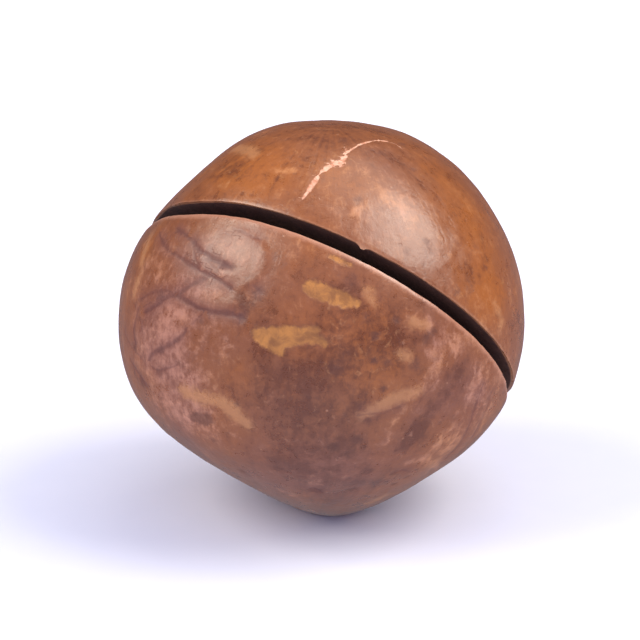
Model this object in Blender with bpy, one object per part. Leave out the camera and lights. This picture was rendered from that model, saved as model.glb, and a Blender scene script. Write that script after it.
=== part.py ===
"""Macadamia nut in its shell, sawn part of the way round, resting on a small flat spot.

Two pieces:
  shell   the hard woody shell, hollow, with a narrow saw slit through its wall for about
          two thirds of the way round; the uncut third holds the two sides together
  kernel  the seed, lying loose on the inside of the shell

Metres, +Z up.  The origin is the middle of the flat spot that the nut rests on, and the
front of the nut, where the slit shows, faces -Y.
"""
import math

import bmesh
import bpy
from mathutils import Matrix, Vector

MM = 0.001

# ---- driving dimensions, millimetres -------------------------------------------------
CENTRE = Vector((-0.31, 0.07, 12.09))  # middle of the nut above the flat spot
SIDE_RADIUS = 12.69                    # half the width, the roundest part
TOP_RADIUS = 12.97                     # half the height before the ends are blunted
BLEND = 14.0                           # how sharply the soft flats meet, higher is sharper

CONE_AXIS = Vector((-0.054, -0.097, -1.0))      # the blunt lower end points nearly down
CONE_REACH = 12.285                    # centre of the nut to the side of the blunt cone
CONE_TILT = math.radians(36.2)         # lean of the cone's side from its axis

# soft flats on the growing nut: outward direction, and distance from the centre
FLATS = (
    (Vector((-0.683, 0.274, 0.678)), 12.31),    # upper left shoulder
    (Vector((-0.454, -0.334, -0.826)), 11.71),  # lower left
    (Vector((-0.024, 0.375, 0.927)), 13.40),    # crown
    (Vector((0.550, 0.790, 0.270)), 12.75),     # back right
    (Vector((-0.620, 0.760, -0.190)), 12.70),   # back left
)

WALL = 2.8                             # thickness of the shell wall

SLIT_NORMAL = Vector((0.409, 0.612, 0.676))     # square to the saw slit
SLIT_OFFSET = 0.75                     # slit plane to the middle of the nut
SLIT_WIDTH = 0.90
SLIT_MIDDLE = Vector((0.135, -0.774, 0.618))    # the middle of the slit, seen from the centre
SLIT_FLOOR = 9.0                       # the saw's deepest reach, from the middle of the nut
SLIT_HALF_TURN = math.radians(92.0)    # full depth this far to each side of the middle
SAW_RADIUS = 17.5
SAW_CLEAR = 15.5                       # cutter outline runs out to here, clear of the nut

KERNEL_FILL = 0.93                     # kernel radius over the hollow's radius
KERNEL_DROP = 0.34                     # the loose kernel lies this much below the middle

SHELL_SEGMENTS, SHELL_RINGS = 56, 36
HOLLOW_SEGMENTS, HOLLOW_RINGS = 36, 24
KERNEL_SEGMENTS, KERNEL_RINGS = 32, 20


# ---- the nut's form ------------------------------------------------------------------
def outer_radius(d):
    """Centre of the nut to its outside along the unit direction d, in millimetres.

    A slightly tall ball, a blunt cone for its lower end and a few soft flats are joined
    by a power mean, so that each fades into the next without an edge."""
    ball = math.sqrt((d.x ** 2 + d.y ** 2) / SIDE_RADIUS ** 2 + (d.z / TOP_RADIUS) ** 2)
    total = ball ** BLEND
    along = d.dot(CONE_AXIS.normalized())
    if along > -0.2:
        across = math.sqrt(max(0.0, 1.0 - along * along))
        cone = (along * math.cos(CONE_TILT) + across * math.sin(CONE_TILT)) / CONE_REACH
        total += max(0.0, cone) ** BLEND
    for normal, reach in FLATS:
        total += max(0.0, d.dot(normal.normalized()) / reach) ** BLEND
    return total ** (-1.0 / BLEND)


def hollow_radius(d):
    return outer_radius(d) - WALL


def kernel_radius(d):
    """The kernel has shrunk a little in its hollow, so it is the hollow's form, smaller,
    with a slight point away from the blunt end."""
    point = max(0.0, d.dot(-CONE_AXIS.normalized())) ** 24
    return KERNEL_FILL * hollow_radius(d) * (1.0 + 0.015 * point)


def slit_frame():
    """Axes of the slit: X to its middle, Z square to its plane."""
    z = SLIT_NORMAL.normalized()
    x = (SLIT_MIDDLE - z * SLIT_MIDDLE.dot(z)).normalized()
    y = z.cross(x)
    return Matrix((x, y, z)).transposed()


# ---- making objects ------------------------------------------------------------------
def clear_scene():
    for ob in list(bpy.data.objects):
        bpy.data.objects.remove(ob, do_unlink=True)


def new_collection(name):
    col = bpy.data.collections.new(name)
    bpy.context.scene.collection.children.link(col)
    return col


def material(name, colour, roughness):
    mat = bpy.data.materials.new(name)
    mat.use_nodes = True
    bsdf = mat.node_tree.nodes["Principled BSDF"]
    bsdf.inputs["Base Color"].default_value = (*colour, 1.0)
    bsdf.inputs["Roughness"].default_value = roughness
    bsdf.inputs["Metallic"].default_value = 0.0
    return mat


def grown_body(name, collection, radius, segments, rings, centre):
    """A UV sphere whose poles lie square to the slit, each point moved out to radius(d)."""
    bm = bmesh.new()
    bmesh.ops.create_uvsphere(bm, u_segments=segments, v_segments=rings, radius=1.0)
    turn = slit_frame()
    for v in bm.verts:
        d = (turn @ v.co).normalized()
        v.co = (centre + d * radius(d)) * MM
    mesh = bpy.data.meshes.new(name)
    bm.to_mesh(mesh)
    bm.free()
    mesh.shade_smooth()
    ob = bpy.data.objects.new(name, mesh)
    collection.objects.link(ob)
    return ob


def slit_outline():
    """Outline of what the round saw sweeps, in the slit's plane, in millimetres.

    The nut turns under the saw, so the floor is an arc about the nut's middle; at each
    end the saw's own rim runs out to the surface."""
    saw_centre = SLIT_FLOOR + SAW_RADIUS
    reach = (SAW_CLEAR ** 2 + saw_centre ** 2 - SAW_RADIUS ** 2) / (2 * SAW_CLEAR * saw_centre)
    run_out = math.acos(reach)
    points = []
    steps = 28
    for i in range(steps + 1):
        a = -SLIT_HALF_TURN + 2 * SLIT_HALF_TURN * i / steps
        points.append((SLIT_FLOOR * math.cos(a), SLIT_FLOOR * math.sin(a)))
    end = []
    for i in range(1, 9):
        b = run_out * i / 8
        r = saw_centre * math.cos(b) - math.sqrt(SAW_RADIUS ** 2 - (saw_centre * math.sin(b)) ** 2)
        end.append((r, SLIT_HALF_TURN + b))
    points += [(r * math.cos(a), r * math.sin(a)) for r, a in end]
    last = end[-1][1]
    for i in range(1, 40):
        a = last - 2 * last * i / 40
        points.append((SAW_CLEAR * math.cos(a), SAW_CLEAR * math.sin(a)))
    points += [(r * math.cos(-a), r * math.sin(-a)) for r, a in reversed(end)]
    return points


def slit_cutter(collection):
    """The flat outline as a filled curve, thickened to the slit's width, made a mesh."""
    curve = bpy.data.curves.new("slit_outline", 'CURVE')
    curve.dimensions = '2D'
    curve.fill_mode = 'BOTH'
    curve.extrude = SLIT_WIDTH * MM / 2
    outline = slit_outline()
    spline = curve.splines.new('POLY')
    spline.points.add(len(outline) - 1)
    for p, (x, y) in zip(spline.points, outline):
        p.co = (x * MM, y * MM, 0.0, 1.0)
    spline.use_cyclic_u = True
    guide = bpy.data.objects.new("slit_outline", curve)
    place = slit_frame().to_4x4()
    place.translation = (CENTRE + SLIT_NORMAL.normalized() * SLIT_OFFSET) * MM
    guide.matrix_world = place
    collection.objects.link(guide)
    bpy.context.view_layer.update()
    graph = bpy.context.evaluated_depsgraph_get()
    mesh = bpy.data.meshes.new_from_object(guide.evaluated_get(graph))
    bm = bmesh.new()
    bm.from_mesh(mesh)
    bmesh.ops.remove_doubles(bm, verts=bm.verts, dist=1e-6)
    bmesh.ops.recalc_face_normals(bm, faces=bm.faces)
    bm.to_mesh(mesh)
    bm.free()
    cutter = bpy.data.objects.new("slit_cutter", mesh)
    cutter.matrix_world = guide.matrix_world.copy()
    collection.objects.link(cutter)
    bpy.data.objects.remove(guide, do_unlink=True)
    return cutter


def floor_cutter(collection):
    """A block below the resting plane, which leaves the small flat spot."""
    bm = bmesh.new()
    bmesh.ops.create_cube(bm, size=1.0, matrix=Matrix.Translation((0.0, 0.0, -0.005))
                          @ Matrix.Diagonal((0.040, 0.040, 0.010, 1.0)))
    mesh = bpy.data.meshes.new("rest_spot_cutter")
    bm.to_mesh(mesh)
    bm.free()
    ob = bpy.data.objects.new("rest_spot_cutter", mesh)
    collection.objects.link(ob)
    return ob


def cut(target, cutter, name):
    cutter.hide_render = True
    cutter.display_type = 'WIRE'
    mod = target.modifiers.new(name, 'BOOLEAN')
    mod.operation = 'DIFFERENCE'
    mod.solver = 'EXACT'
    mod.object = cutter


def main():
    clear_scene()
    parts = new_collection("macadamia_nut_in_shell")
    cutters = new_collection("cutters")

    shell = grown_body("shell", parts, outer_radius, SHELL_SEGMENTS, SHELL_RINGS, CENTRE)
    shell.data.materials.append(material("shell_wood", (0.330, 0.150, 0.085), 0.45))
    hollow = grown_body("hollow_cutter", cutters, hollow_radius,
                        HOLLOW_SEGMENTS, HOLLOW_RINGS, CENTRE)
    cut(shell, hollow, "hollow")
    cut(shell, slit_cutter(cutters), "slit")
    cut(shell, floor_cutter(cutters), "rest_spot")

    kernel = grown_body("kernel", parts, kernel_radius, KERNEL_SEGMENTS, KERNEL_RINGS,
                        CENTRE - Vector((0.0, 0.0, KERNEL_DROP)))
    kernel.data.materials.append(material("kernel_flesh", (0.640, 0.520, 0.330), 0.55))


main()
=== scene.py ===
"""Looks of a macadamia nut in its shell, sawn part of the way round, on a pale floor.

The shell and the kernel are modelled as fine meshes in the place of the plain solids.
Lengths are in millimetres until a mesh is written, and all places are in the row frame.
"""
import math
import bmesh
import bpy
import numpy as np
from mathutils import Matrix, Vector, kdtree


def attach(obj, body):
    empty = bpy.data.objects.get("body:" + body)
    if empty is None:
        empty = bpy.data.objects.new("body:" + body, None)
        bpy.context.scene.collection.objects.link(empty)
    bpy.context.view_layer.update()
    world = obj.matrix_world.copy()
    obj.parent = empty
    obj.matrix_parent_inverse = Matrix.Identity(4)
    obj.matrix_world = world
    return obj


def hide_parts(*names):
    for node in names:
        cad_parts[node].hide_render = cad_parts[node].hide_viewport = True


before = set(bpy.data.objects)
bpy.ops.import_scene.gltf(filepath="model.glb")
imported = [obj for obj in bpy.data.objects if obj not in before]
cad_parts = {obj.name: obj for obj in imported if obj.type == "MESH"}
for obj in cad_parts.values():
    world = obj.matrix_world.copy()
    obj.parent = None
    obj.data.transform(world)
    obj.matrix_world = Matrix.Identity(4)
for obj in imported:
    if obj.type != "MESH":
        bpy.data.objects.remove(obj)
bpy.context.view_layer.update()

MM = 0.001

# ======================================================================================
# The form of the nut: the same rules and sizes as the solid model
# ======================================================================================


def unit(v):
    v = np.asarray(v, float)
    return v / np.linalg.norm(v, axis=-1, keepdims=True)


CENTRE = np.array((-0.31, 0.07, 12.09))
SIDE_RADIUS, TOP_RADIUS, BLEND = 12.69, 12.97, 14.0
CONE_AXIS = unit((-0.054, -0.097, -1.0))
CONE_REACH, CONE_TILT = 12.285, math.radians(36.2)
FLATS = (
    ((-0.683, 0.274, 0.678), 12.31),
    ((-0.454, -0.334, -0.826), 11.71),
    ((-0.024, 0.375, 0.927), 13.40),
    ((0.550, 0.790, 0.270), 12.75),
    ((-0.620, 0.760, -0.190), 12.70),
)
WALL = 2.8

SLIT_N = unit((0.409, 0.612, 0.676))
SLIT_X = np.array((0.135, -0.774, 0.618))
SLIT_X = unit(SLIT_X - SLIT_N * (SLIT_X @ SLIT_N))
SLIT_Y = np.cross(SLIT_N, SLIT_X)
SLIT_OFFSET, SLIT_WIDTH, SLIT_FLOOR = 0.75, 0.90, 9.0
SLIT_HALF_TURN, SAW_RADIUS, SAW_CLEAR = math.radians(92.0), 17.5, 15.5
SAW_MIDDLE = SLIT_FLOOR + SAW_RADIUS
SLIT_END = SLIT_HALF_TURN + math.acos((12.6 ** 2 + SAW_MIDDLE ** 2 - SAW_RADIUS ** 2)
                                      / (2 * 12.6 * SAW_MIDDLE))

SWAY_AT = -0.96                  # where the saw ran a little low, near the left limb

KERNEL_FILL, KERNEL_DROP = 0.93, 0.34


def outer_radius(d):
    ball = np.sqrt((d[:, 0] ** 2 + d[:, 1] ** 2) / SIDE_RADIUS ** 2 + (d[:, 2] / TOP_RADIUS) ** 2)
    total = ball ** BLEND
    along = d @ CONE_AXIS
    across = np.sqrt(np.clip(1.0 - along ** 2, 0.0, None))
    cone = (along * math.cos(CONE_TILT) + across * math.sin(CONE_TILT)) / CONE_REACH
    total = total + np.where(along > -0.2, np.clip(cone, 0.0, None) ** BLEND, 0.0)
    for normal, reach in FLATS:
        total = total + np.clip(d @ unit(normal) / reach, 0.0, None) ** BLEND
    return total ** (-1.0 / BLEND)


# ======================================================================================
# Noise and small helpers
# ======================================================================================


def smooth(x, lo, hi):
    t = np.clip((x - lo) / (hi - lo), 0.0, 1.0)
    return t * t * (3.0 - 2.0 * t)


def _hash(ix, iy, iz, seed):
    h = (ix.astype(np.uint64) * np.uint64(73856093) ^ iy.astype(np.uint64) * np.uint64(19349663)
         ^ iz.astype(np.uint64) * np.uint64(83492791) ^ np.uint64(seed * 2654435761 % 2 ** 32))
    h = (h ^ (h >> np.uint64(13))) * np.uint64(1274126177)
    h = h ^ (h >> np.uint64(16))
    return (h & np.uint64(0xFFFFFF)).astype(float) / float(0xFFFFFF) * 2.0 - 1.0


def noise(p, size, seed=0):
    """Smooth value noise from -1 to 1 with cells of the given size, in millimetres."""
    q = p / size + 1000.0
    i = np.floor(q).astype(np.int64)
    f = q - i
    w = f * f * f * (f * (f * 6 - 15) + 10)
    out = 0.0
    for dx in (0, 1):
        for dy in (0, 1):
            for dz in (0, 1):
                weight = ((w[:, 0] if dx else 1 - w[:, 0]) * (w[:, 1] if dy else 1 - w[:, 1])
                          * (w[:, 2] if dz else 1 - w[:, 2]))
                out = out + weight * _hash(i[:, 0] + dx, i[:, 1] + dy, i[:, 2] + dz, seed)
    return out


def fbm(p, size, octaves=3, seed=0, fall=0.5):
    total, amount, norm = 0.0, 1.0, 0.0
    for k in range(octaves):
        total = total + amount * noise(p, size / 2 ** k, seed + 17 * k)
        norm += amount
        amount *= fall
    return total / norm


# ======================================================================================
# Camera frame: places on the front of the nut are given as seen, right and up from its middle
# ======================================================================================
ELEVATION = math.radians(22.0)
RIGHT = np.array((1.0, 0.0, 0.0))
UP = np.array((0.0, math.sin(ELEVATION), math.cos(ELEVATION)))
BACK = np.array((0.0, -math.cos(ELEVATION), math.sin(ELEVATION)))   # towards the camera
SEEN_MIDDLE = (-0.04, 0.17)      # the middle of the outline, right and up from CENTRE


def front(points):
    """Places (right, up) in millimetres as seen from the front, moved onto the surface."""
    p = np.asarray(points, float).reshape(-1, 2) + np.array(SEEN_MIDDLE)
    lo, hi = np.zeros(len(p)), np.full(len(p), 16.0)
    for _ in range(30):
        mid = (lo + hi) / 2
        at = p[:, :1] * RIGHT + p[:, 1:] * UP + mid[:, None] * BACK
        inside = np.linalg.norm(at, axis=1) < outer_radius(unit(at))
        lo, hi = np.where(inside, mid, lo), np.where(inside, hi, mid)
    at = p[:, :1] * RIGHT + p[:, 1:] * UP + lo[:, None] * BACK
    d = unit(at)
    return CENTRE + d * outer_radius(d)[:, None]


def on_surface(d):
    d = unit(d).reshape(-1, 3)
    return CENTRE + d * outer_radius(d)[:, None]


def smooth_line(points, step=0.05, wobble=0.0, seed=0):
    """A dense smooth line through places on the surface, kept on it."""
    p = np.asarray(points, float)
    ext = np.vstack((2 * p[0] - p[1], p, 2 * p[-1] - p[-2]))
    out = []
    for i in range(1, len(ext) - 2):
        a, b, c, d = ext[i - 1:i + 3]
        n = max(2, int(np.linalg.norm(c - b) / step))
        t = np.linspace(0, 1, n, endpoint=False)[:, None]
        out.append(0.5 * (2 * b + (c - a) * t + (2 * a - 5 * b + 4 * c - d) * t ** 2
                          + (3 * b - a - 3 * c + d) * t ** 3))
    out.append(p[-1:])
    q = np.vstack(out)
    if wobble:
        q = q + wobble * np.stack([fbm(q, 1.1, 3, seed + k) for k in (1, 2, 3)], 1)
    return on_surface(q - CENTRE)


# ======================================================================================
# Meshes
# ======================================================================================


def six_patches(across, rows, basis):
    """Directions and quads of a sphere made of six patches: four go round the slit, with
    the given rows from one side of it to the other, and two close the ends."""
    ex, ey, ez = basis
    a = np.linspace(-math.pi / 4, math.pi / 4, across + 1)
    dirs, quads, base = [], [], 0

    def patch(u, v, o, du, dv):
        nonlocal base
        uu, vv = np.meshgrid(np.tan(u), np.tan(v))
        d = o + uu[..., None] * du + vv[..., None] * dv
        nu, nv = len(u), len(v)
        idx = base + np.arange(nu * nv).reshape(nv, nu)
        q = np.stack((idx[:-1, :-1], idx[:-1, 1:], idx[1:, 1:], idx[1:, :-1]), -1).reshape(-1, 4)
        dirs.append(unit(d.reshape(-1, 3)))
        quads.append(q)
        base += nu * nv

    ring = (ex, ey, -ex, -ey)
    for k in range(4):
        patch(a, rows, ring[k], ring[(k + 1) % 4], ez)
    patch(a, a, ez, ex, ey)
    patch(a, a, -ez, ey, ex)
    dirs, quads = np.vstack(dirs), np.vstack(quads)
    key = np.round(dirs * 2e5).astype(np.int64)
    _, first, inverse = np.unique(key, axis=0, return_index=True, return_inverse=True)
    return dirs[first], inverse.reshape(-1)[quads]


def mesh_from(name, verts_mm, quads):
    mesh = bpy.data.meshes.new(name)
    mesh.vertices.add(len(verts_mm))
    mesh.vertices.foreach_set("co", (verts_mm * MM).astype(np.float32).ravel())
    n = quads.shape[1]
    mesh.loops.add(quads.size)
    mesh.loops.foreach_set("vertex_index", quads.astype(np.int32).ravel())
    mesh.polygons.add(len(quads))
    mesh.polygons.foreach_set("loop_start", np.arange(0, quads.size, n, dtype=np.int32))
    mesh.update(calc_edges=True)
    mesh.validate()
    return mesh


def add_object(name, mesh):
    ob = bpy.data.objects.new(name, mesh)
    bpy.context.scene.collection.objects.link(ob)
    return ob


def coords(mesh):
    co = np.empty(len(mesh.vertices) * 3, np.float32)
    mesh.vertices.foreach_get("co", co)
    return co.reshape(-1, 3).astype(float) / MM


def put_vector(mesh, name, values):
    att = mesh.attributes.new(name, "FLOAT_VECTOR", "POINT")
    att.data.foreach_set("vector", np.asarray(values, np.float32).ravel())


def put(mesh, name, values):
    att = mesh.attributes.new(name, "FLOAT", "POINT")
    att.data.foreach_set("value", np.asarray(values, np.float32))


# ======================================================================================
# What grew or was scratched on the surface
# ======================================================================================
# Lines: (places, half width, depth), the places as seen from the front, (right, up) in mm.
P = 0.2168                       # one step of the measuring grid below, in millimetres


def seen(*xy):
    """Grid places measured on the front, right and down, as (right, up) in millimetres."""
    return [((x - 287.58) * P, (440.92 - y) * P) for x, y in xy]


VEINS_FRONT = (
    (seen((246.5, 415.8), (250, 418), (252, 420), (254, 422.5), (257, 424.6), (259.6, 425.8), (263, 427.2)), 0.19, 1.0),
    (seen((241.8, 416.6), (243, 420), (246.5, 423), (250, 425.5), (253, 427.2), (256, 429.2), (259.5, 430.6), (263.8, 433.8)), 0.15, 0.9),
    (seen((250.4, 417.9), (251.8, 421), (252.3, 424.6), (254.2, 427.6)), 0.12, 0.7),
    (seen((256.6, 429.6), (252.6, 431.2), (249, 433.4), (245.4, 434.6), (240.5, 436.2)), 0.15, 0.8),
    (seen((236.8, 440), (240.6, 437.9), (243.8, 435.8), (247, 434.9), (250, 436.6), (254, 438.7), (258, 439.6), (262.5, 440.2), (266.8, 441.6)), 0.17, 1.0),
    (seen((250.2, 443.6), (248.8, 446), (246.4, 447.9), (243, 450), (240.2, 451.3), (238.2, 454.2)), 0.16, 0.9),
    (seen((236, 437.5), (234.8, 441), (234.2, 445), (234.9, 449.8)), 0.14, 0.8),
    (seen((262.4, 415.9), (266, 417.1), (268.8, 418.4), (271.8, 419.2)), 0.10, 0.6),
    (seen((235.0, 436.4), (239.4, 434.2), (243.6, 433.4), (246.6, 434.8)), 0.12, 0.65),
    (seen((234.2, 436.6), (235.4, 440.2), (236.6, 443.4), (236.0, 446.8)), 0.10, 0.55),
    (seen((231.0, 443.6), (233.2, 449.0), (236.4, 452.4), (238.4, 456.2)), 0.10, 0.55),
    (seen((255.2, 439.4), (252.8, 441.6), (250.4, 443.6)), 0.10, 0.55),
    (seen((258.4, 418.0), (260.6, 417.2), (262.6, 418.6), (262.0, 420.6), (259.8, 421.0)), 0.07, 0.40),
    (seen((254.4, 424.0), (257.0, 426.4), (259.6, 428.6)), 0.09, 0.55),
    (seen((246.4, 416.4), (244.4, 419.6), (246.0, 422.6)), 0.09, 0.45),
    (seen((238.8, 454.4), (241.6, 456.2), (244.6, 455.4), (247.6, 454.4)), 0.11, 0.6),
    (seen((232.8, 452.6), (235, 456.2), (237.2, 459.4), (238, 461.4)), 0.13, 0.7),
    (seen((334.6, 458.6), (333.2, 463), (331.6, 468), (329.8, 473), (327, 478), (322.6, 482.4)), 0.10, 0.65),
    (seen((336.8, 461), (335.6, 466), (333.2, 471.6), (330.6, 476.2), (326.8, 481)), 0.07, 0.4),
    (seen((309.4, 485.6), (311.2, 484.6), (313.6, 485.2)), 0.11, 0.7),
    (seen((283.6, 490.4), (286, 489.8), (289, 491.4)), 0.12, 0.8),
    (seen((297.4, 468.9), (301, 468.4), (305.6, 467.9), (309.8, 466.4), (312, 465.6)), 0.10, 0.5),
    (seen((322.8, 455), (320.4, 459), (317, 463.4), (314, 468)), 0.05, 0.3),
    (seen((268.6, 431.2), (270.2, 433.4), (272, 434.8)), 0.13, 0.6),
)
SCAR_FRONT = (
    (seen((282.3, 407.9), (284.2, 405.4), (286.2, 402.4), (287.4, 400.4)), 0.20),
    (seen((287.4, 400.4), (289.6, 398.8), (291.6, 397.4), (293.6, 396.6), (295.4, 394.8)), 0.17),
    (seen((290.4, 396.2), (292.4, 397.6), (294.2, 398.2)), 0.20),
    (seen((293, 398.6), (294, 396.4), (294.8, 394)), 0.22),
    (seen((294.4, 395.2), (297.4, 392.7), (300.6, 391.2), (304.2, 390.5), (307.6, 391.1)), 0.10),
    (seen((307.4, 391), (309.6, 391.9), (311.2, 393.2)), 0.04),
    (seen((287.2, 407.1), (287.8, 407.9)), 0.08),
    (seen((272.6, 395.2), (273.6, 395.1)), 0.09),
)
# Ledges at the edges of plates: (places, height, width), raised on the right of the way along
STEPS_FRONT = (
    (seen((262.0, 415.2), (266.0, 416.6), (270.2, 419.2), (272.8, 422.4), (272.9, 427.0), (270.2, 430.2), (266.4, 432.6), (263.6, 434.0)), 0.062),
    (seen((263.6, 434.2), (263.4, 437.4), (261.4, 440.0), (257.0, 439.4), (252.6, 438.0), (248.6, 435.6)), 0.055),
    (seen((262.2, 427.0), (257.6, 424.6), (253.2, 421.4), (250.6, 418.4)), 0.030),
    (seen((263.4, 433.6), (258.0, 430.0), (252.0, 426.6), (246.4, 423.2), (242.6, 418.4)), 0.026),
    (seen((245.2, 435.8), (240.6, 438.0), (236.6, 440.2)), 0.026),
    (seen((250.4, 443.8), (246.4, 448.0), (240.4, 451.4), (238.0, 454.4)), 0.030),
    (seen((298.6, 415.4), (296.2, 409.6), (293.0, 404.0)), 0.022),
    (seen((326.4, 412.0), (327.2, 419.0), (324.0, 425.6), (319.0, 429.6)), 0.026),
    (seen((336.0, 452.0), (329.4, 460.0), (323.6, 468.6), (318.6, 478.0)), 0.026),
    (seen((322.0, 452.0), (316.4, 459.0), (311.6, 467.0), (308.6, 475.0)), 0.022),
    (seen((256.0, 458.6), (261.4, 463.0), (265.4, 468.4), (267.4, 474.0)), 0.022),
)
# Patches: (spine places, radius at each place) in mm; the pale ochre flecks
FLECKS_FRONT = (
    (seen((284.6, 432.6), (287.2, 434.4), (290.6, 435.6), (294.4, 436.8), (298.0, 436.9)), (0.44, 0.42, 0.38, 0.36, 0.26)),
    (seen((286.2, 431.6), (290.6, 434.0), (296.0, 435.6)), (0.22, 0.34, 0.26)),
    (seen((270.4, 446.0), (274.2, 447.2), (278.6, 446.8), (284.0, 446.2), (288.6, 448.2)), (0.46, 0.70, 0.62, 0.44, 0.26)),
    (seen((275.4, 449.6), (276.4, 450.8)), (0.40, 0.26)),
    (seen((272.2, 444.6), (280.0, 444.6), (286.8, 444.6)), (0.20, 0.24, 0.22)),
    (seen((290.4, 423.8), (293.6, 425.2), (296.4, 426.4)), (0.13, 0.16, 0.10)),
)
TAN_FRONT = (
    (seen((299.0, 469.0), (303.2, 466.8), (307.6, 464.6), (312.0, 463.0), (315.6, 462.0)), (0.20, 0.32, 0.40, 0.34, 0.22)),
    (seen((249.0, 461.8), (253.6, 463.6), (258.6, 464.6)), (0.36, 0.46, 0.36)),
    (seen((259.6, 464.8), (263.4, 468.0), (267.0, 471.2)), (0.40, 0.50, 0.26)),
    (seen((236.6, 428.0), (235.4, 431.0), (234.4, 434.0)), (0.14, 0.18, 0.12)),
    (seen((239.2, 417.6), (237.8, 421.4), (236.6, 425.6)), (0.22, 0.32, 0.20)),
    (seen((337.4, 437.6), (339.4, 442.4)), (0.20, 0.20)),
    (seen((301.0, 434.2), (302.4, 436.6)), (0.28, 0.22)),
    (seen((314.0, 442.6), (317.6, 443.2)), (0.34, 0.28)),
    (seen((310.6, 451.4), (312.6, 452.0)), (0.26, 0.22)),
    (seen((253.4, 464.4), (253.9, 464.6)), (0.16, 0.14)),
    (seen((306.0, 492.4), (302.0, 494.2)), (0.30, 0.24)),
    (seen((263.4, 392.6), (267.0, 393.4), (269.0, 395.0)), (0.36, 0.44, 0.30)),
)
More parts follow.
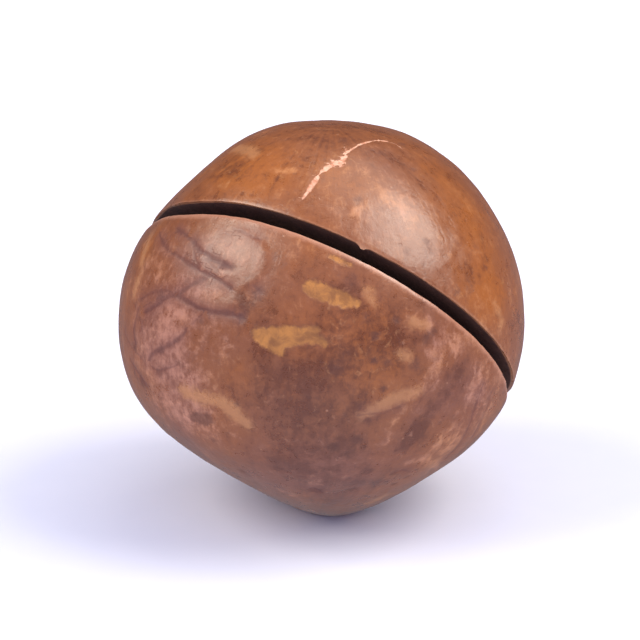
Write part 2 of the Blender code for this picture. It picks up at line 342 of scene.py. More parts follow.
# Soft strokes of tone: (spine places, radius at each place, lighter above 0 and darker below)
STROKES_FRONT = (
    (seen((329.6, 450.6), (326.0, 456.4), (320.6, 464.8), (315.6, 472.6), (311.4, 478.0)), (0.30, 0.62, 0.52, 0.60, 0.30), -0.62),
    (seen((322.6, 452.0), (318.6, 457.4), (313.6, 463.6), (309.6, 469.4)), (0.16, 0.34, 0.30, 0.14), 0.55),
    (seen((334.6, 452.6), (332.0, 459.6), (327.4, 468.0), (321.6, 476.2), (317.0, 481.6)), (0.20, 0.36, 0.40, 0.34, 0.18), 0.40),
    (seen((339.4, 457.0), (338.0, 463.0), (334.6, 470.6), (329.6, 477.6)), (0.16, 0.28, 0.28, 0.16), 0.32),
    (seen((312.4, 441.0), (315.6, 441.6), (318.6, 443.6)), (0.28, 0.40, 0.26), 0.70),
    (seen((325.0, 449.0), (327.4, 451.4), (328.0, 454.0)), (0.16, 0.30, 0.20), 0.60),
    (seen((316.6, 449.6), (320.0, 452.4), (321.6, 456.0)), (0.20, 0.32, 0.20), 0.45),
    (seen((301.0, 434.0), (303.0, 437.0)), (0.26, 0.24), 0.65),
    (seen((290.4, 432.4), (294.6, 433.6), (298.0, 433.0)), (0.20, 0.30, 0.20), -0.55),
    (seen((268.4, 430.6), (270.0, 433.6), (268.8, 437.0)), (0.24, 0.44, 0.26), -0.50),
    (seen((264.6, 434.6), (266.6, 439.0)), (0.22, 0.30), -0.55),
    (seen((234.0, 455.6), (235.0, 458.6), (238.0, 460.6)), (0.24, 0.36, 0.20), -0.65),
    (seen((241.6, 441.6), (246.6, 439.6), (251.6, 441.0)), (0.30, 0.46, 0.30), 0.22),
    (seen((241.6, 446.8), (246.0, 444.6)), (0.30, 0.34), 0.20),
    (seen((246.0, 456.6), (250.0, 459.0), (256.6, 457.6)), (0.34, 0.60, 0.30), 0.32),
    (seen((243.0, 463.0), (247.0, 467.6), (252.4, 474.0)), (0.36, 0.62, 0.40), 0.25),
    (seen((238.6, 424.4), (241.6, 427.4), (240.6, 431.0)), (0.26, 0.40, 0.26), 0.40),
    (seen((250.6, 432.4), (256.0, 433.6), (261.6, 434.4)), (0.22, 0.42, 0.26), 0.30),
    # painted highlight: this lighter stroke runs through the left softbox's reflection
    (seen((256.6, 419.4), (263.0, 420.6), (268.6, 424.6)), (0.34, 0.60, 0.44), 0.25),
    (seen((300.4, 470.2), (304.6, 469.4), (310.6, 466.6), (315.6, 464.4)), (0.12, 0.22, 0.22, 0.12), -0.50),
    (seen((296.4, 471.8), (299.6, 472.6), (303.0, 474.6)), (0.16, 0.24, 0.14), 0.35),
    (seen((284.0, 480.6), (289.6, 482.2), (294.6, 481.4)), (0.20, 0.30, 0.20), 0.35),
    (seen((300.6, 480.6), (306.0, 481.6), (310.0, 480.0)), (0.20, 0.32, 0.18), 0.40),
    (seen((272.0, 489.0), (277.6, 490.8), (282.0, 492.8)), (0.20, 0.28, 0.16), 0.30),
    (seen((296.0, 488.6), (301.6, 487.6), (305.6, 488.6)), (0.20, 0.36, 0.20), -0.45),
    (seen((312.6, 482.6), (317.6, 481.6), (321.6, 484.0)), (0.22, 0.36, 0.20), 0.50),
    (seen((308.0, 492.0), (313.0, 490.0), (318.0, 487.0)), (0.16, 0.26, 0.16), 0.45),
    (seen((306.6, 488.0), (310.0, 486.2), (313.6, 483.6)), (0.12, 0.20, 0.10), -0.60),
    (seen((286.0, 474.6), (291.4, 476.4), (297.6, 474.6)), (0.16, 0.28, 0.16), -0.30),
    (seen((302.0, 477.6), (306.6, 476.4), (310.0, 474.0)), (0.14, 0.24, 0.14), 0.35),
    (seen((256.4, 404.6), (262.4, 403.4), (269.6, 404.4)), (0.24, 0.40, 0.24), 0.30),
    (seen((272.6, 399.0), (278.0, 399.6), (283.0, 400.6)), (0.16, 0.26, 0.16), 0.45),
    (seen((282.6, 390.4), (290.6, 391.6), (296.0, 390.6)), (0.24, 0.40, 0.24), -0.30),
    (seen((302.6, 393.6), (308.6, 396.0), (313.6, 400.0), (316.0, 404.0)), (0.20, 0.40, 0.44, 0.22), -0.38),
    (seen((296.0, 398.6), (300.6, 399.6), (304.0, 402.6)), (0.22, 0.36, 0.22), 0.40),
    # painted highlight: this lighter stroke lies in the right softbox's reflection
    (seen((304.0, 405.0), (309.6, 408.0), (312.6, 413.0)), (0.26, 0.46, 0.26), 0.35),
    (seen((322.6, 402.0), (328.6, 408.6), (331.6, 416.0)), (0.26, 0.44, 0.26), 0.28),
    (seen((333.4, 417.6), (334.4, 424.0), (333.0, 429.6)), (0.14, 0.24, 0.14), -0.45),
    (seen((328.6, 426.0), (332.0, 430.6), (331.0, 435.0)), (0.22, 0.46, 0.26), -0.25),
    (seen((339.6, 424.6), (341.6, 431.6), (341.6, 438.0)), (0.16, 0.28, 0.16), 0.40),
    (seen((302.6, 427.6), (307.0, 430.6), (311.6, 434.0)), (0.16, 0.26, 0.16), 0.55),
    (seen((283.6, 421.6), (288.6, 423.0), (293.0, 424.6)), (0.16, 0.24, 0.14), 0.50),
    # painted highlight: this lighter stroke lies in the right softbox's reflection
    (seen((296.4, 412.4), (298.4, 410.4), (300.0, 408.4)), (0.14, 0.22, 0.14), 0.80),
    (seen((276.6, 399.6), (279.2, 399.2), (281.4, 399.4)), (0.12, 0.18, 0.10), 0.80),
    (seen((284.4, 489.8), (287.0, 487.4)), (0.16, 0.16), 0.70),
    (seen((272.6, 480.6), (278.6, 482.4), (285.0, 484.6)), (0.20, 0.36, 0.20), -0.45),
    (seen((286.0, 478.6), (290.4, 477.4), (295.0, 478.6)), (0.14, 0.26, 0.14), -0.45),
    (seen((299.6, 492.6), (303.0, 488.8), (307.4, 484.4)), (0.12, 0.22, 0.12), -0.55),
    (seen((275.0, 489.6), (280.0, 491.6), (285.6, 491.4)), (0.14, 0.26, 0.14), 0.45),
    (seen((290.6, 485.0), (294.0, 486.2), (297.4, 485.0)), (0.12, 0.20, 0.12), 0.45),
)
# Soft dark marks: (place, radius mm, strength)
SPOTS_FRONT = (
    ((303.0, 446.2), 0.30, 0.8), ((302.6, 453.4), 0.28, 0.7), ((307.0, 453.9), 0.36, 0.45),
    ((314.2, 454.6), 0.42, 0.6), ((319.6, 445.2), 0.34, 0.7), ((317.4, 447.4), 0.40, 0.6),
    ((309.2, 441.6), 0.34, 0.6), ((320.4, 452.8), 0.34, 0.45), ((291.6, 455.4), 0.62, 0.55),
    ((291.4, 477.6), 0.36, 0.9), ((297.8, 475.8), 0.34, 0.9), ((295.6, 479.6), 0.50, 0.6),
    ((276.2, 484.0), 0.52, 0.7), ((265.4, 485.0), 0.36, 0.6), ((286.4, 490.6), 0.46, 0.9),
    ((297.0, 490.2), 0.58, 0.55), ((301.8, 484.6), 0.46, 0.5), ((308.6, 485.6), 0.30, 0.8),
    ((312.6, 486.6), 0.28, 0.7), ((308.8, 488.8), 0.24, 0.9), ((316.0, 456.6), 0.30, 0.4),
    ((253.4, 469.8), 0.55, 0.95), ((256.0, 469.8), 0.42, 0.8), ((251.4, 469.6), 0.30, 0.5),
    ((257.2, 476.0), 0.42, 0.45), ((264.2, 465.6), 0.22, 0.6), ((269.8, 433.8), 0.40, 0.4),
    ((265.6, 441.2), 0.34, 0.9), ((260.6, 426.4), 0.30, 0.9), ((263.0, 426.9), 0.26, 0.8),
    ((252.4, 419.4), 0.28, 0.6), ((242.2, 434.6), 0.42, 0.55), ((242.4, 450.2), 0.36, 0.7),
    ((246.8, 447.6), 0.30, 0.45), ((234.6, 449.4), 0.42, 0.8), ((236.6, 459.2), 0.42, 0.6),
    ((241.6, 456.4), 0.50, 0.45), ((247.6, 454.2), 0.30, 0.5), ((253.6, 442.0), 0.34, 0.4),
    ((318.8, 421.8), 0.42, 0.4), ((317.6, 419.4), 0.30, 0.5), ((312.2, 422.4), 0.36, 0.45),
    ((298.6, 408.0), 0.42, 0.5), ((304.4, 411.0), 0.50, 0.3), ((329.6, 431.4), 0.78, 0.38),
    ((326.2, 433.8), 0.36, 0.4), ((338.4, 440.2), 0.32, 0.5), ((334.8, 427.0), 0.26, 0.5),
    ((313.8, 398.8), 0.44, 0.4), ((311.2, 391.8), 0.42, 0.6), ((293.6, 390.8), 0.50, 0.45),
    ((303.0, 394.2), 0.66, 0.35), ((305.6, 461.2), 0.28, 0.7), ((299.0, 466.0), 0.34, 0.55),
    ((325.6, 469.6), 0.34, 0.4), ((276.6, 447.8), 0.32, 0.5), ((284.2, 446.0), 0.26, 0.6),
    ((261.8, 460.6), 0.30, 0.3), ((275.0, 424.0), 0.34, 0.45), ((284.6, 427.6), 0.36, 0.35),
    ((296.6, 430.6), 0.60, 0.4), ((258.6, 396.6), 0.30, 0.4), ((252.2, 402.6), 0.30, 0.25),
    ((264.6, 445.6), 0.34, 0.3), ((300.6, 441.2), 0.50, 0.4), ((331.4, 420.6), 0.36, 0.3),
)
# Broad changes of tone: (place, radius mm, lighter above 0 and darker below)
TONES_FRONT = (
    ((274.0, 458.0), 2.8, -0.38), ((284.0, 466.0), 3.0, -0.58), ((303.0, 448.0), 2.8, -0.66),
    ((290.0, 452.0), 2.2, -0.24), ((266.0, 436.0), 1.6, -0.30), ((276.0, 434.0), 2.0, -0.16),
    ((300.0, 474.0), 2.6, -0.30), ((290.0, 486.0), 3.4, -0.72), ((270.0, 482.0), 2.4, -0.30),
    ((292.0, 494.0), 2.0, -0.48), ((315.0, 450.0), 1.4, -0.22), ((232.0, 444.0), 1.2, -0.25),
    # (310.0, 410.0) is a painted highlight, lighter within the right softbox's reflection
    ((310.0, 410.0), 1.6, 0.10), ((282.0, 404.0), 1.2, 0.12), ((298.0, 406.0), 3.0, -0.12),
    ((264.0, 400.0), 2.6, -0.16), ((276.0, 461.0), 2.4, -0.12), ((330.0, 426.0), 2.0, 0.06),
    # (296.0, 412.0) is a painted highlight, lighter within the right softbox's reflection
    ((241.0, 452.0), 2.6, 0.50), ((248.0, 444.0), 3.4, 0.16), ((296.0, 412.0), 1.6, 0.22), ((322.0, 449.0), 1.3, 0.25), ((281.0, 420.0), 1.6, -0.34), ((339.5, 456.0), 1.6, 0.55), ((298.0, 441.0), 3.4, -0.18),
    ((322.0, 448.0), 1.3, 0.40), ((326.0, 475.0), 1.4, 0.25), ((280.0, 420.0), 1.3, 0.35),
    ((320.0, 396.0), 3.0, -0.16), ((290.0, 388.0), 2.8, -0.44), ((338.0, 432.0), 1.8, -0.18),
    ((262.0, 398.0), 3.0, -0.36), ((250.0, 476.0), 2.0, -0.15),
    ((327.6, 457.0), 1.15, -0.55), ((325.0, 462.0), 0.90, -0.35), ((316.0, 473.0), 1.15, -0.55),
    ((315.0, 477.6), 0.95, -0.40), ((334.0, 469.0), 1.1, 0.45), ((320.6, 461.0), 0.9, 0.25),
    ((323.6, 477.0), 1.2, 0.35), ((318.6, 485.0), 1.1, 0.30), ((246.0, 442.0), 1.5, 0.30),
    ((246.4, 464.0), 2.2, 0.30), ((243.0, 430.0), 1.6, 0.20), ((256.0, 434.0), 1.0, 0.25),
    # painted highlights: (312.0, 416.0) and (263.0, 421.0) lighten the shell where the right and left softboxes reflect
    ((312.0, 416.0), 2.4, 0.30), ((263.0, 421.0), 1.8, 0.30), ((333.6, 434.6), 1.0, 0.25),
    ((256.0, 472.0), 1.8, 0.22), ((287.6, 396.0), 3.0, -0.05), ((280.0, 483.0), 2.4, -0.10),
    ((330.6, 447.0), 1.2, 0.22), ((308.0, 470.4), 0.9, 0.22), ((262.0, 456.0), 1.2, -0.12),
)
# Hue: above 0 more orange, below 0 more mauve
HUES_FRONT = (
    ((266.0, 396.0), 3.2, 0.75), ((272.0, 404.0), 3.0, 0.55), ((330.0, 412.0), 3.0, 0.55),
    ((336.0, 436.0), 2.2, 0.85), ((320.0, 400.0), 2.6, 0.40), ((238.4, 420.6), 1.2, 0.9),
    ((298.0, 446.0), 3.2, 0.45), ((281.0, 441.6), 2.2, 0.45), ((304.0, 454.0), 2.6, 0.40),
    ((303.0, 464.0), 2.0, 0.30), ((264.0, 458.0), 1.6, 0.30), ((262.4, 468.0), 1.6, 0.25),
    ((284.0, 478.0), 3.2, -0.45), ((292.0, 489.0), 3.2, -0.65), ((272.0, 486.0), 3.0, -0.55),
    ((254.0, 428.0), 2.4, -0.75), ((244.0, 446.0), 3.0, -0.70), ((248.0, 464.0), 3.0, -0.60),
    ((326.0, 462.0), 2.6, -0.60), ((316.0, 446.0), 2.0, -0.60), ((297.6, 431.0), 0.9, -0.40), ((248.0, 476.0), 2.4, -0.35),
    ((309.0, 478.0), 2.6, -0.30), ((335.6, 476.0), 1.6, -0.25), ((304.0, 396.0), 1.2, -0.20), ((300.0, 404.0), 2.0, 0.45),
    ((284.0, 420.0), 1.6, 0.45), ((290.0, 400.0), 1.6, 0.35),
)

rng = np.random.default_rng(11)


def hidden_direction():
    """A seeded direction on the sides that the front view doesn't show, off the slit."""
    while True:
        d = unit(rng.normal(size=3))
        if d @ BACK < 0.10 and abs(d @ SLIT_N * 12.5 - SLIT_OFFSET) > 1.4:
            return d


def sideways(d, angle):
    """A unit step along the surface at d."""
    e = unit(np.cross(d, CONE_AXIS))
    f = np.cross(d, e)
    return e * math.cos(angle) + f * math.sin(angle)


def walk(d, angle, steps, size, bend):
    """Directions of a wandering line that starts at d."""
    out = [d]
    for _ in range(steps):
        angle += rng.normal() * bend
        d = unit(d + sideways(d, angle) * size / 12.5)
        out.append(d)
    return np.array(out)


veins = [(smooth_line(front(p), 0.05, 0.06, 3 + i), w, k) for i, (p, w, k) in enumerate(VEINS_FRONT)]
scars = [(smooth_line(front(p), 0.04, 0.05, 40 + i), w) for i, (p, w) in enumerate(SCAR_FRONT)]
flecks = [(front(p), r) for p, r in FLECKS_FRONT]
tans = [(front(p), r) for p, r in TAN_FRONT]
steps = [(smooth_line(front(p), 0.06, 0.10, 70 + i), 1.0, k) for i, (p, k) in enumerate(STEPS_FRONT)]
spots = [(front(seen(c))[0], r, s) for c, r, s in SPOTS_FRONT]
tones = [(front(seen(c))[0], r, s) for c, r, s in TONES_FRONT]
hues = [(front(seen(c))[0], r, s) for c, r, s in HUES_FRONT]
strokes = [(front(p), r, s) for p, r, s in STROKES_FRONT]

# --- the hidden sides: three nets of veins, scattered flecks, scratches and marks -------
NETS = (unit((0.35, 0.92, 0.10)), unit((-0.80, 0.55, -0.25)), unit((0.75, 0.20, -0.62)))
for g, middle in enumerate(NETS):
    for k in range(6):
        start = unit(middle + 0.24 * rng.normal(size=3))
        line = walk(start, rng.uniform(0, 2 * math.pi), int(rng.integers(4, 8)), 0.85, 0.55)
        veins.append((smooth_line(on_surface(line), 0.05, 0.06, 100 + 10 * g + k),
                      rng.uniform(0.09, 0.17), rng.uniform(0.6, 1.0)))
for k in range(9):
    line = walk(hidden_direction(), rng.uniform(0, 2 * math.pi), int(rng.integers(3, 7)), 0.8, 0.5)
    veins.append((smooth_line(on_surface(line), 0.05, 0.05, 200 + k), rng.uniform(0.06, 0.12), rng.uniform(0.4, 0.8)))
for k in range(9):
    d = hidden_direction()
    size = rng.uniform(0.55, 1.0)
    line = walk(d, rng.normal() * 0.35, 3, 0.62 * size, 0.2)
    flecks.append((on_surface(line), tuple(size * rng.uniform(0.30, 0.58, 4) * np.array((0.7, 1.1, 1.0, 0.6)))))
for k in range(8):
    line = walk(hidden_direction(), rng.normal() * 0.5, 3, 0.6, 0.3)
    tans.append((on_surface(line), tuple(rng.uniform(0.25, 0.6, 4))))
for k in range(4):
    line = walk(hidden_direction(), rng.uniform(0, 2 * math.pi), 4, 0.55, 0.18)
    scars.append((smooth_line(on_surface(line), 0.04, 0.04, 300 + k), rng.uniform(0.06, 0.12)))
for k in range(8):
    line = walk(hidden_direction(), rng.uniform(0, 2 * math.pi), int(rng.integers(4, 8)), 0.8, 0.35)
    steps.append((smooth_line(on_surface(line), 0.06, 0.10, 400 + k), 1.0, rng.uniform(0.02, 0.05)))
for k in range(60):
    spots.append((on_surface(hidden_direction())[0], rng.uniform(0.22, 0.65), rng.uniform(0.35, 0.95)))
for k in range(34):
    line = walk(hidden_direction(), math.pi / 2 + rng.normal() * 0.5, 3, rng.uniform(0.5, 1.1), 0.2)
    strokes.append((on_surface(line), tuple(rng.uniform(0.15, 0.5, 4)), rng.uniform(0.3, 0.7) * rng.choice((-1, 1))))
for k in range(26):
    tones.append((on_surface(hidden_direction())[0], rng.uniform(1.0, 2.6), rng.uniform(-0.5, 0.4)))
for k in range(16):
    hues.append((on_surface(hidden_direction())[0], rng.uniform(1.4, 3.0), rng.uniform(-0.5, 0.6)))


def near_lines(p, lines, taper=0.35):
    """Signed distance to the nearest line over its half width there, and its strength."""
    pts, tans_, half, strong, beyond = [], [], [], [], []
    for line, w, *k in lines:
        t = np.gradient(line, axis=0)
        t = unit(t)
        s = np.concatenate(([0], np.cumsum(np.linalg.norm(np.diff(line, axis=0), axis=1))))
        fade = np.minimum(smooth(s, 0, taper), smooth(s[-1] - s, 0, taper))
        vary = 0.78 + 0.35 * noise(line, 0.6, 77)
        pts.append(line)
        tans_.append(t)
        half.append(w * (0.25 + 0.75 * fade) * vary if w < 1 else w + 0 * fade)
        strong.append((k[0] if k else 1.0) * ((0.30 + 0.70 * fade) if w < 1 else fade))
        end = np.zeros(len(line), bool)
        end[0] = end[-1] = True
        beyond.append(end)
    pts, tans_ = np.vstack(pts), np.vstack(tans_)
    half, strong, beyond = map(np.concatenate, (half, strong, beyond))
    tree = kdtree.KDTree(len(pts))
    for i, q in enumerate(pts):
        tree.insert(q, i)
    tree.balance()
    idx = np.empty(len(p), np.int64)
    for i, q in enumerate(p):
        idx[i] = tree.find(q)[1]
    rel = p - pts[idx]
    t = tans_[idx]
    along = (rel * t).sum(1)
    out = unit(p - CENTRE)
    side = np.cross(t, out)
    sd = (rel * side).sum(1)
    ahead = beyond[idx] & (np.abs(along) > 0.03)
    strength = np.where(ahead, 0.0, strong[idx])
    dist = np.where(ahead, np.linalg.norm(rel, axis=1), sd)
    return dist / half[idx], strength, np.linalg.norm(rel, axis=1)


def near_patches(p, patches, far=1.5):
    """Distance outside the nearest patch's edge, less than 0 inside, in millimetres."""
    pts, rad = [], []
    for spine, r in patches:
        spine, r = np.asarray(spine, float), np.asarray(r, float)
        s = np.linspace(0, len(spine) - 1, 8 * (len(spine) - 1) + 1)
        pts.append(np.stack([np.interp(s, np.arange(len(spine)), spine[:, k]) for k in range(3)], 1))
        rad.append(np.interp(s, np.arange(len(r)), r))
    pts, rad = np.vstack(pts), np.concatenate(rad)
    best = np.full(len(p), far)
    for q, r in zip(pts, rad):
        best = np.minimum(best, np.sqrt(((p - q) ** 2).sum(1)) - r)
    return best


def near_strokes(p, marks):
    total = np.zeros(len(p))
    for spine, r, s in marks:
        spine, r = np.asarray(spine, float), np.asarray(r, float)
        t = np.linspace(0, len(spine) - 1, 8 * (len(spine) - 1) + 1)
        q = np.stack([np.interp(t, np.arange(len(spine)), spine[:, k]) for k in range(3)], 1)
        rr = np.interp(t, np.arange(len(r)), r)
        close = np.nonzero(((p - q.mean(0)) ** 2).sum(1) < (np.linalg.norm(q - q.mean(0), axis=1).max() + 1.5) ** 2)[0]
        if len(close):
            gap = (np.sqrt(((p[close, None] - q[None]) ** 2).sum(2)) - rr[None]).min(1)
            total[close] += s * (1 - smooth(gap, -0.30, 0.38))
    return total


def near_spots(p, marks):
    total = np.zeros(len(p))
    for q, r, s in marks:
        total += s * np.exp(-((p - q) ** 2).sum(1) / r ** 2)
    return total


# ======================================================================================
# The shell
# ======================================================================================
BASIS = (SLIT_X, SLIT_Y, SLIT_N)


def sway(angle):
    """How far the saw ran off its plane at an angle round the slit, in millimetres."""
    return -0.34 * np.exp(-((angle - SWAY_AT) / 0.26) ** 2) + 0.04 * np.sin(2.2 * angle + 0.6)


def slit_place(p):
    """Distance from the slit's middle, angle round it and distance out, for places on it."""
    q = p - CENTRE
    angle = np.arctan2(q @ SLIT_Y, q @ SLIT_X)
    return q @ SLIT_N - SLIT_OFFSET - sway(angle), angle, np.hypot(q @ SLIT_X, q @ SLIT_Y)


def meridian(p):
    """Places with the way from the tip to the crown drawn together, so that noise runs
    along it in streaks."""
    q = p - CENTRE
    along = q @ CONE_AXIS
    across = q - np.outer(along, CONE_AXIS)
    return unit(across) * 12.5 + np.outer(along * 0.30, CONE_AXIS) + 0.05 * across


def relief(p, d):
    """How far the outside of the shell stands out from its plain form, in millimetres."""
    h = 0.085 * fbm(p, 7.0, 2, 5) + 0.050 * fbm(p, 2.6, 2, 9) + 0.008 * fbm(p, 0.9, 2, 21)
    h = h + 0.012 * fbm(meridian(p), 1.5, 2, 27)
    vein, strong, gap = near_lines(p, veins)
    groove = np.exp(-np.clip(np.abs(vein), 0, 6) ** 2 * 0.5) * strong
    dome = np.exp(-np.clip(gap, 0, 3) / 0.50) * np.clip(strong, 0, 1)
    h = h - 0.016 * groove - 0.030 * dome
    for line, width, height in steps:
        middle = line.mean(0)
        reach = np.linalg.norm(line - middle, axis=1).max() + 3.5
        close = np.nonzero(((p - middle) ** 2).sum(1) < reach ** 2)[0]
        if len(close):
            side, strong, gap = near_lines(p[close], [(line, width, height)], 0.9)
            rise = smooth(side, -0.14, 0.14) * np.exp(-np.clip(side, 0, 9) / 0.85)
            h[close] += strong * rise * (1 - smooth(gap, 2.0, 3.4))
    scar, there, _ = near_lines(p, scars)
    h = h - 0.035 * np.exp(-np.clip(np.abs(scar), 0, 6) ** 2) * (there > 0) \
        + 0.022 * np.exp(-(np.clip(np.abs(scar), 0, 6) - 1.5) ** 2 * 2.5) * (there > 0)
    wavy = 0.10 * fbm(p, 0.7, 2, 33)
    h = h - 0.040 * (1 - smooth(near_patches(p, flecks) + wavy, -0.22, 0.10))
    h = h - 0.010 * (1 - smooth(near_patches(p, tans) + wavy, -0.3, 0.3))
    h = h - 0.022 * np.clip(near_spots(p, spots), 0, 1.2)
    # lips of the slit: rounded over, and nibbled by the saw in places
    s, angle, _ = slit_place(p)
    edge = np.abs(s) - SLIT_WIDTH / 2
    nibble = 0.5 + 0.5 * noise(p, 0.8, 51) + 0.9 * np.clip(noise(p, 1.9, 57) - 0.45, 0, 1)
    lip = np.clip(1 - np.clip(edge, 0, None) / (0.22 + 0.10 * nibble), 0, 1) ** 2
    open_here = 1 - smooth(np.abs(angle), SLIT_END - 0.10, SLIT_END + 0.02)
    return h - lip * open_here * np.where(s > 0, 0.020 + 0.030 * nibble, 0.045 + 0.050 * nibble)


def slit_cutter():
    """What the saw took out: a thin curved slab, with slightly wavy sides."""
    reach = math.acos((SAW_CLEAR ** 2 + SAW_MIDDLE ** 2 - SAW_RADIUS ** 2) / (2 * SAW_CLEAR * SAW_MIDDLE))
    last = SLIT_HALF_TURN + reach
    a = np.linspace(-last, last, 331)
    over = np.clip(np.abs(a) - SLIT_HALF_TURN, 0, reach * 0.999)
    inner = SAW_MIDDLE * np.cos(over) - np.sqrt(np.clip(SAW_RADIUS ** 2 - (SAW_MIDDLE * np.sin(over)) ** 2, 0, None))
    inner = np.where(over > 0, inner, SLIT_FLOOR)
    rows = 15
    share = np.linspace(0, 1, rows)[None, :]
    r = inner[:, None] + (SAW_CLEAR + 0.2 - inner[:, None]) * share
    aa = np.repeat(a[:, None], rows, 1)
    flat = CENTRE + r[..., None] * (np.cos(aa)[..., None] * SLIT_X + np.sin(aa)[..., None] * SLIT_Y)
    pts = flat.reshape(-1, 3)
    narrow = 1 - 0.55 * smooth(np.abs(aa.ravel()), SLIT_END - 0.34, SLIT_END)
    sides = []
    for k, sign in enumerate((1, -1)):
        chip = 0.035 * fbm(pts, 2.2, 3, 61 + k) + 0.020 * noise(pts, 0.45, 71 + k)
        # a crumb of shell left standing on the upper side
        nub = 0.0
        if sign > 0:
            at = front(seen((300.2, 420.2)))[0]
            away = pts - at
            away = away - np.outer(away @ SLIT_N, SLIT_N)
            nub = -0.36 * np.exp(-(away ** 2).sum(1) / 0.26 ** 2)
        half = (SLIT_WIDTH / 2 + 0.03) * narrow + chip * narrow + nub
        sides.append(pts + np.outer(SLIT_OFFSET + sway(aa.ravel()) + sign * np.clip(half, 0.05, None), SLIT_N))
    n, m = len(a), rows
    top = np.arange(n * m).reshape(n, m)
    low = top + n * m
    q = [np.stack((top[:-1, :-1], top[1:, :-1], top[1:, 1:], top[:-1, 1:]), -1).reshape(-1, 4),
         np.stack((low[:-1, :-1], low[:-1, 1:], low[1:, 1:], low[1:, :-1]), -1).reshape(-1, 4),
         np.stack((top[:-1, 0], low[:-1, 0], low[1:, 0], top[1:, 0]), -1),
         np.stack((top[:-1, -1], top[1:, -1], low[1:, -1], low[:-1, -1]), -1),
         np.stack((top[0, :-1], top[0, 1:], low[0, 1:], low[0, :-1]), -1),
         np.stack((top[-1, :-1], low[-1, :-1], low[-1, 1:], top[-1, 1:]), -1)]
    return mesh_from("slit_cutter", np.vstack(sides), np.vstack(q))


def outward(mesh):
    bm = bmesh.new()
    bm.from_mesh(mesh)
    bmesh.ops.recalc_face_normals(bm, faces=bm.faces)
    if bm.calc_volume(signed=True) < 0:
        bmesh.ops.reverse_faces(bm, faces=bm.faces)
    bm.to_mesh(mesh)
    bm.free()
    return mesh


def make_shell():
    dense = [math.radians(x) for x in np.arange(-0.9, 9.4, 0.42)]
    below = [math.radians(x) for x in np.linspace(-45, -1.6, 52)]
    above = [math.radians(x) for x in np.linspace(10.0, 45, 42)]
    rows = np.array(below + dense + above)
    d, quads = six_patches(102, rows, BASIS)
    p = CENTRE + d * outer_radius(d)[:, None]
    p = p + d * relief(p, d)[:, None]
    p[:, 2] = np.where(p[:, 2] < 0.14, np.maximum(p[:, 2] * 0.0 + smooth(p[:, 2], 0.0, 0.14) * 0.14 * 0.9, 0.0), p[:, 2])
    outer = add_object("macadamia_shell", outward(mesh_from("macadamia_shell", p, quads)))

    d, quads = six_patches(30, np.linspace(-math.pi / 4, math.pi / 4, 31), BASIS)
    p = CENTRE + d * (outer_radius(d) - WALL)[:, None]
    p = p + d * (0.05 * fbm(p, 3.0, 2, 81))[:, None]
    hollow = add_object("hollow_cutter", outward(mesh_from("hollow_cutter", p, quads)))
    saw = add_object("saw_cutter", outward(slit_cutter()))

    for cutter in (hollow, saw):
        mod = outer.modifiers.new(cutter.name, "BOOLEAN")
        mod.operation = "DIFFERENCE"
        mod.solver = "MANIFOLD"
        mod.object = cutter
    bpy.context.view_layer.update()
    cut = bpy.data.meshes.new_from_object(outer.evaluated_get(bpy.context.evaluated_depsgraph_get()))
    outer.modifiers.clear()
    outer.data = cut
    cut.name = "macadamia_shell"
    for cutter in (hollow, saw):
        bpy.data.objects.remove(cutter, do_unlink=True)

    bm = bmesh.new()
    bm.from_mesh(cut)
    bmesh.ops.remove_doubles(bm, verts=bm.verts, dist=2e-6)
    bmesh.ops.dissolve_degenerate(bm, dist=1e-6, edges=bm.edges)
    bmesh.ops.triangulate(bm, faces=[f for f in bm.faces if len(f.verts) > 4])
    loose = [v for v in bm.verts if not v.link_faces]
    bmesh.ops.delete(bm, geom=loose, context="VERTS")
    open_edges = sum(1 for e in bm.edges if len(e.link_faces) != 2)
    bm.to_mesh(cut)
    bm.free()
    print("shell: faces", len(cut.polygons), "open edges", open_edges)

    # what each place is, for the material
    p = coords(cut)
    d = unit(p - CENTRE)
    nominal = outer_radius(d)
    surface = CENTRE + d * nominal[:, None]
    put(cut, "depth", nominal - np.linalg.norm(p - CENTRE, axis=1))
    vein, strong, gap = near_lines(surface, veins)
    put(cut, "vein", np.clip(vein, -12, 12))
    put(cut, "vein_strength", strong * (1 - smooth(gap, 0.40, 0.60)))
    put(cut, "vein_halo", np.clip(strong, 0, 1) * np.exp(-(gap / 0.55) ** 2))
    scar, there, gap = near_lines(surface, scars)
    put(cut, "scar", np.clip(scar, -12, 12))
    put(cut, "scar_strength", there * (1 - smooth(gap, 0.35, 0.50)))
    put(cut, "nub", near_spots(p, [(front(seen((300.2, 420.2)))[0], 0.34, 1.0)]))
    put_vector(cut, "streak", meridian(surface))
    put(cut, "fleck", near_patches(surface, flecks))
    put(cut, "tan", near_patches(surface, tans))
    put(cut, "spot", near_spots(surface, spots))
    # the tones and strokes include a few lighter ones that are painted highlights where the softboxes reflect
    put(cut, "tone", near_spots(surface, tones) + near_strokes(surface, strokes))
    put(cut, "hue", near_spots(surface, hues))
    s, angle, _ = slit_place(p)
    open_here = 1 - smooth(np.abs(angle), SLIT_END - 0.12, SLIT_END + 0.02)
    # distances from the lower and the upper lip, for the pale bands along them in the material; the lower band is a
    # painted highlight
    put(cut, "lip_low", np.where(s < 0, np.clip(np.abs(s) - SLIT_WIDTH / 2, 0, 2), 2) + 2 * (1 - open_here))
    put(cut, "lip_high", np.where(s > 0, np.clip(np.abs(s) - SLIT_WIDTH / 2, 0, 2), 2) + 2 * (1 - open_here))
    lay_out(cut, p, d, nominal)
    cut.shade_smooth()
    cut.set_sharp_from_angle(angle=math.radians(38))
    return outer


